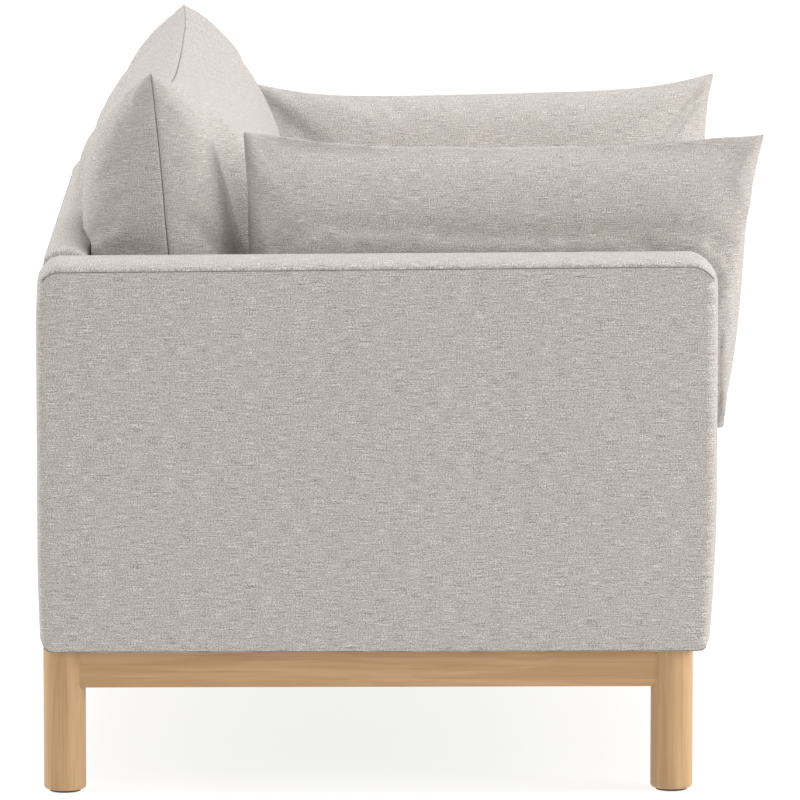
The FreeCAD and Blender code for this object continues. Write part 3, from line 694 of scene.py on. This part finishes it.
def build_dust_cover():
    def drop(x, y, s, t):
        sag = 0.6 + waves(np.stack([x, y, x * 0], -1), 9.0, 41)
        return 0.5 * MM + 1.2 * MM * (1 - s**6) * (1 - t**6) * sag

    posts = []
    for leg in ("leg_front_left", "leg_front_right", "leg_rear_left", "leg_rear_right"):
        low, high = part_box(leg)
        posts.append(((low.x + high.x) / 2, (low.y + high.y) / 2, (high.x - low.x) / 2 + CLEAR))
    return thin_sheet("dust_cover_cloth", "dust_cover", 20 * MM, drop, posts)


def build_deck_cover():
    def drop(x, y, s, t):
        sag = 0.5 + waves(np.stack([x, y, x * 0], -1), 7.0, 42)
        return 0.2 * MM + 0.8 * MM * (1 - s**8) * (1 - t**8) * sag

    return thin_sheet("deck_cloth", "deck_cover", 20 * MM, drop)


# ---- small parts: floor pads and zips --------------------------------------------------------------------
def build_floor_pads():
    """Four round felt pads with softened edges, where the legs stand."""
    low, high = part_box("floor_pads")
    radius = 20 * MM
    profile = [(0.0, 0.0), (0.93, 0.0), (0.985, 0.12), (1.0, 0.35), (1.0, 1.0), (0.0, 1.0)]
    steps = 40
    vertices, faces = [], []
    for x in (low.x + radius, high.x - radius):
        for y in (low.y + radius, high.y - radius):
            first = len(vertices)
            for r, h in profile[1:-1]:
                for k in range(steps):
                    a = 2 * math.pi * k / steps
                    vertices.append((x + r * radius * math.cos(a), y + r * radius * math.sin(a),
                                     low.z + h * (high.z - low.z)))
            rings = len(profile) - 2
            faces += [tuple(first + i for i in f) for f in ring_faces(rings, steps)]
            faces.append(tuple(first + k for k in range(steps))[::-1])
            faces.append(tuple(first + (rings - 1) * steps + k for k in range(steps)))
    pads = new_object("felt_pads", vertices, faces)
    pads.data.shade_flat()
    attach(pads, "frame")
    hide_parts("floor_pads")
    return pads


def build_zip(node, body, along, outward):
    """A closed zip in the place of its tape: two tape edges on a backing, their cords, and the row of teeth.
    along is the index of its long axis; outward is (axis, sign) of the way it faces."""
    low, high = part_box(node)
    axis, sign = outward
    across = 3 - along - axis
    middle = (low[across] + high[across]) / 2
    surface = high[axis] if sign > 0 else low[axis]
    vertices, faces = [], []

    def bar(s0, s1, c0, c1, d0, d1):
        """A small block: along the zip, across it, and in from its outward face."""
        base = len(vertices)
        for s in (s0, s1):
            for c in (c0, c1):
                for d in (d0, d1):
                    point = [0.0, 0.0, 0.0]
                    point[along], point[across], point[axis] = s, middle + c, surface - sign * d
                    vertices.append(point)
        for face in ((0, 1, 3, 2), (4, 6, 7, 5), (0, 4, 5, 1), (2, 3, 7, 6), (0, 2, 6, 4), (1, 5, 7, 3)):
            faces.append(tuple(base + i for i in face))

    start, end = low[along], high[along]
    half = (high[across] - low[across]) / 2
    bar(start, end, -half, half, 1.2 * MM, 2.0 * MM)
    for side in (-1, 1):
        inner, outer = sorted((side * 3.6 * MM, side * (half - 0.4 * MM)))
        bar(start, end, inner, outer, 0.7 * MM, 1.25 * MM)
        inner, outer = sorted((side * 2.5 * MM, side * 3.6 * MM))
        bar(start, end, inner, outer, 0.35 * MM, 1.25 * MM)
    pitch, tooth, reach = 2.5 * MM, 0.75 * MM, 2.3 * MM  # tooth and reach are half a tooth's size
    backing = len(faces)
    for k in range(int((end - start) / pitch)):
        place = start + (k + 0.5) * pitch
        shift = 0.7 * MM if k % 2 else -0.7 * MM
        bar(place - tooth, place + tooth, shift - reach, shift + reach, 0.05 * MM, 1.25 * MM)
    made = new_object(node + "_with_teeth", vertices, faces)
    fixed = bmesh.new()
    fixed.from_mesh(made.data)
    bmesh.ops.recalc_face_normals(fixed, faces=fixed.faces)
    fixed.to_mesh(made.data)
    fixed.free()
    made.data.shade_flat()
    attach(made, body)
    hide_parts(node)
    return made, backing


# ---- materials -------------------------------------------------------------------------------------------
class Nodes:
    """A short way to write a material's node tree."""

    def __init__(self, name):
        self.material = bpy.data.materials.new(name)
        self.material.use_nodes = True
        self.tree = self.material.node_tree
        self.tree.nodes.clear()

    def add(self, kind, inputs=None, **settings):
        node = self.tree.nodes.new(kind)
        for key, value in settings.items():
            setattr(node, key, value)
        for key, value in (inputs or {}).items():
            socket = node.inputs[key]
            if isinstance(value, bpy.types.NodeSocket):
                self.tree.links.new(value, socket)
            else:
                socket.default_value = value
        return node

    def math(self, operation, a, b):
        return self.add("ShaderNodeMath", {0: a, 1: b}, operation=operation).outputs[0]

    def noise(self, vector, scale, stretch=(1, 1, 1), detail=2.0, roughness=0.5, distortion=0.0):
        mapped = self.add("ShaderNodeMapping", {"Vector": vector, "Scale": stretch}).outputs[0]
        inputs = {"Vector": mapped, "Scale": scale, "Detail": detail}
        inputs.update({"Roughness": roughness, "Distortion": distortion})
        return self.add("ShaderNodeTexNoise", inputs).outputs["Fac"]

    def ramp(self, value, low, high):
        """0 below low, 1 above high."""
        inputs = {"Value": value, "From Min": low, "From Max": high}
        return self.add("ShaderNodeMapRange", inputs, interpolation_type="SMOOTHSTEP").outputs[0]

    def mix(self, factor, a, b):
        return self.add("ShaderNodeMix", {0: factor, 6: a, 7: b}, data_type="RGBA").outputs[2]

    def surface(self, color, roughness, height=None, bump=0.3, distance=0.001, **constants):
        inputs = {"Base Color": color, "Roughness": roughness}
        inputs.update({key.replace("_", " ").title(): value for key, value in constants.items()})
        shader = self.add("ShaderNodeBsdfPrincipled", inputs)
        if height is not None:
            made = self.add("ShaderNodeBump", {"Height": height, "Strength": bump, "Distance": distance})
            self.tree.links.new(made.outputs[0], shader.inputs["Normal"])
        self.add("ShaderNodeOutputMaterial", {"Surface": shader.outputs[0]})
        return self.material


def linen(name, color, dark, light):
    """Plain weave of uneven yarns: broken slubs, more along the weft than the warp, over a fine speckle of
    crossings, with painted shade darkening the seams' grooves."""
    n = Nodes(name)
    cloth = n.add("ShaderNodeAttribute", attribute_name="cloth").outputs["Vector"]
    # seam: how strongly painted shade darkens a seam's groove at this point
    seam = n.add("ShaderNodeAttribute", attribute_name="seam").outputs["Fac"]
    weft = n.noise(cloth, 1.0, (48, 640, 1), detail=1.0)
    warp = n.noise(cloth, 1.0, (640, 75, 1), detail=1.0)
    grain = n.noise(cloth, 1.0, (560, 700, 1), detail=2.0, roughness=0.75)
    patches = n.noise(cloth, 1.0, (38, 60, 1), detail=2.0)
    light_slub = n.math("MAXIMUM", n.ramp(weft, 0.53, 0.68), n.math("MULTIPLY", n.ramp(warp, 0.56, 0.72), 0.7))
    dark_slub = n.math("MAXIMUM", n.ramp(weft, 0.47, 0.32), n.math("MULTIPLY", n.ramp(warp, 0.44, 0.28), 0.7))
    crossing = n.ramp(grain, 0.40, 0.62)
    lively = n.math("ADD", n.math("MULTIPLY", n.ramp(patches, 0.35, 0.65), 0.6), 0.6)
    lighter = n.math("MULTIPLY", n.math("MULTIPLY", light_slub, crossing), n.math("MULTIPLY", lively, 0.95))
    darker = n.math("MULTIPLY", n.math("MULTIPLY", dark_slub, n.math("SUBTRACT", 1.0, crossing)), lively)
    shade = n.mix(n.math("MULTIPLY", n.ramp(grain, 0.51, 0.32), 0.75), color, dark)
    shade = n.mix(n.math("MULTIPLY", n.ramp(grain, 0.50, 0.69), 0.7), shade, light)
    shade = n.mix(n.math("MINIMUM", darker, 1.0), shade, dark)
    shade = n.mix(n.math("MINIMUM", lighter, 1.0), shade, light)
    # painted shade: the seams' grooves are darkened to near black where seam is high
    shade = n.mix(n.math("MULTIPLY", n.ramp(seam, 0.35, 0.95), 0.8), shade, (0.09, 0.075, 0.065, 1))
    height = n.math("ADD", n.math("MULTIPLY", grain, 0.8), n.math("MULTIPLY", n.math("ADD", weft, warp), 0.6))
    return n.surface(shade, 0.92, height, bump=0.5, distance=0.0015, sheen_weight=0.12, sheen_roughness=0.5)


def oak(name, axis):
    """Light oak with its grain along one axis, in the row frame."""
    n = Nodes(name)
    place = n.add("ShaderNodeTexCoord").outputs["Object"]
    along = {"x": (1, 0, 0), "y": (0, 1, 0), "z": (0, 0, 1)}[axis]
    stretch = [4 if a else 62 for a in along]
    fine = [7 if a else 420 for a in along]
    figure = n.noise(place, 1.0, stretch, detail=3.0, roughness=0.55, distortion=0.7)
    pores = n.noise(place, 1.0, fine, detail=2.0)
    tone = n.noise(place, 5.0, detail=1.0)
    pale, mid, brown = (0.48, 0.31, 0.155, 1), (0.40, 0.235, 0.11, 1), (0.25, 0.13, 0.055, 1)
    color = n.mix(n.ramp(figure, 0.35, 0.68), pale, mid)
    color = n.mix(n.math("MULTIPLY", n.ramp(pores, 0.55, 0.75), 0.45), color, brown)
    color = n.mix(n.math("MULTIPLY", tone, 0.25), color, mid)
    return n.surface(color, 0.5, pores, bump=0.12, distance=0.0006)


def plain(name, color, roughness, grain=60.0, bump=0.2, metallic=0.0):
    """A simple finish with a little unevenness in tone and surface."""
    n = Nodes(name)
    place = n.add("ShaderNodeTexCoord").outputs["Object"]
    speckle = n.noise(place, grain, detail=4.0)
    darker = tuple(c * 0.75 for c in color[:3]) + (1,)
    shade = n.mix(speckle, color, darker)
    return n.surface(shade, roughness, speckle, bump=bump, distance=0.001, metallic=metallic)


def paint(piece, material):
    piece.data.materials.clear()
    piece.data.materials.append(material)


# ---- floor, light and camera -----------------------------------------------------------------------------
def build_stage():
    """A white floor that glows a little, as on a lit sweep, so that shadows stay pale."""
    size = 30.0
    corners = [(-size, -size, 0), (size, -size, 0), (size, size, 0), (-size, size, 0)]
    floor = new_object("floor", corners, [(0, 1, 2, 3)])
    n = Nodes("floor")
    paint(floor, n.surface((0.21, 0.21, 0.21, 1), 0.6, emission_color=(1, 1, 1, 1), emission_strength=0.83))
    world = bpy.data.worlds.new("studio")
    bpy.context.scene.world = world
    world.use_nodes = True
    background = world.node_tree.nodes["Background"]
    background.inputs["Color"].default_value = (1.0, 0.985, 0.96, 1)
    background.inputs["Strength"].default_value = 0.82


def softbox(name, place, target, size, power, color):
    light = bpy.data.lights.new(name, "AREA")
    light.shape = "RECTANGLE"
    light.size, light.size_y = size
    light.energy = power
    light.color = color
    lamp = bpy.data.objects.new(name, light)
    lamp.location = place
    lamp.rotation_euler = (Vector(target) - Vector(place)).to_track_quat("-Z", "Y").to_euler()
    bpy.context.scene.collection.objects.link(lamp)


def build_camera():
    """From the left end, level with the sofa's rear half and a little above it, through a long lens."""
    data = bpy.data.cameras.new("camera")
    data.sensor_width = 36
    data.lens = CAMERA_LENS
    data.clip_end = 100
    camera = bpy.data.objects.new("camera", data)
    camera.location = CAMERA_PLACE
    yaw, pitch = math.radians(CAMERA_YAW), math.radians(CAMERA_PITCH)
    aim = Vector((math.cos(yaw) * math.cos(pitch), -math.sin(yaw) * math.cos(pitch), -math.sin(pitch)))
    camera.rotation_euler = aim.to_track_quat("-Z", "Y").to_euler()
    bpy.context.scene.collection.objects.link(camera)
    bpy.context.scene.camera = camera


# ---- build -----------------------------------------------------------------------------------------------
def paint_cad_nodes(upholstery):
    """Gives every CAD node its finish, and returns the finishes by slot."""
    oak_x, oak_y, oak_z = (oak(f"oak_{axis}", axis) for axis in "xyz")
    timber = plain("frame_timber", (0.62, 0.47, 0.29, 1), 0.7, grain=30)
    steel = plain("zinc_plated_steel", (0.55, 0.55, 0.56, 1), 0.35, grain=200, bump=0.05, metallic=1.0)
    by_slot = {
        "frame_wood": timber,
        "steel": steel,
        "zip_metal": plain("zip_metal", (0.3, 0.28, 0.25, 1), 0.4, grain=200, bump=0.05, metallic=0.6),
        "zip_tape": plain("zip_tape", (0.4, 0.36, 0.32, 1), 0.9, grain=900),
        "foam": plain("foam", (0.78, 0.72, 0.55, 1), 0.95, grain=400, bump=0.5),
        "fibre_fill": plain("fibre", (0.85, 0.85, 0.83, 1), 0.95, grain=250, bump=0.5),
        "webbing": plain("webbing", (0.12, 0.1, 0.09, 1), 0.85, grain=500),
        "decking": plain("decking", (0.36, 0.32, 0.28, 1), 0.95, grain=700, bump=0.3),
        "dust_cloth": plain("dust_cloth", (0.02, 0.02, 0.02, 1), 0.95, grain=600, bump=0.4),
        "felt": plain("felt", (0.09, 0.075, 0.06, 1), 1.0, grain=500, bump=0.6),
        "upholstery": upholstery,
    }
    slots = {s["node"]: s["material_slot"] for s in frame["record"]["subparts"]}
    for name, node in frame["nodes"].items():
        slot = slots[name]
        if slot == "oak":
            grain = oak_z if name.startswith("leg") else oak_y if name.endswith(("left", "right")) else oak_x
            paint(node, grain)
        else:
            paint(node, by_slot[slot])
    return by_slot


def main():
    build_camera()
    build_stage()
    upholstery = linen("upholstery", (0.408, 0.374, 0.351, 1), (0.205, 0.181, 0.17, 1), (0.70, 0.665, 0.64, 1))
    finishes = paint_cad_nodes(upholstery)
    pieces = [build_arm(side) for side in SIDES]
    pieces += [build_back(), build_front_border(), build_seat_cushion(), build_back_cushion()]
    pieces += [build_pillow(side, *PILLOWS[side]) for side in SIDES]
    for piece in pieces:
        paint(piece, upholstery)
    paint(build_dust_cover(), finishes["dust_cloth"])
    paint(build_deck_cover(), finishes["decking"])
    paint(build_floor_pads(), finishes["felt"])
    zips = [("seat_zip_tape", "seat_cushion", 0, (1, 1)), ("back_cushion_zip_tape", "back_cushion", 0, (2, -1))]
    zips += [(f"pillow_{side}_zip_tape", f"pillow_{side}", 1, (2, -1)) for side in SIDES]
    for node, body, along, outward in zips:
        made, backing = build_zip(node, body, along, outward)
        paint(made, finishes["zip_tape"])
        made.data.materials.append(finishes["zip_metal"])
        slots = np.zeros(len(made.data.polygons), np.int32)
        slots[backing:] = 1
        made.data.polygons.foreach_set("material_index", slots)
    softbox("overhead", (0, 0, 5.5), (0, 0, 0.5), (3.2, 3.2), 142, (0.97, 0.98, 1.0))
    softbox("front", (-1.6, -5.2, 2.2), (0, 0, 0.5), (4, 3), 255, (1.0, 0.99, 0.97))
    softbox("rear", (0.5, 5.2, 2.4), (0, 0, 0.5), (4, 3), 110, (1.0, 0.99, 0.98))
    bpy.context.scene.view_settings.view_transform = "Standard"


main()
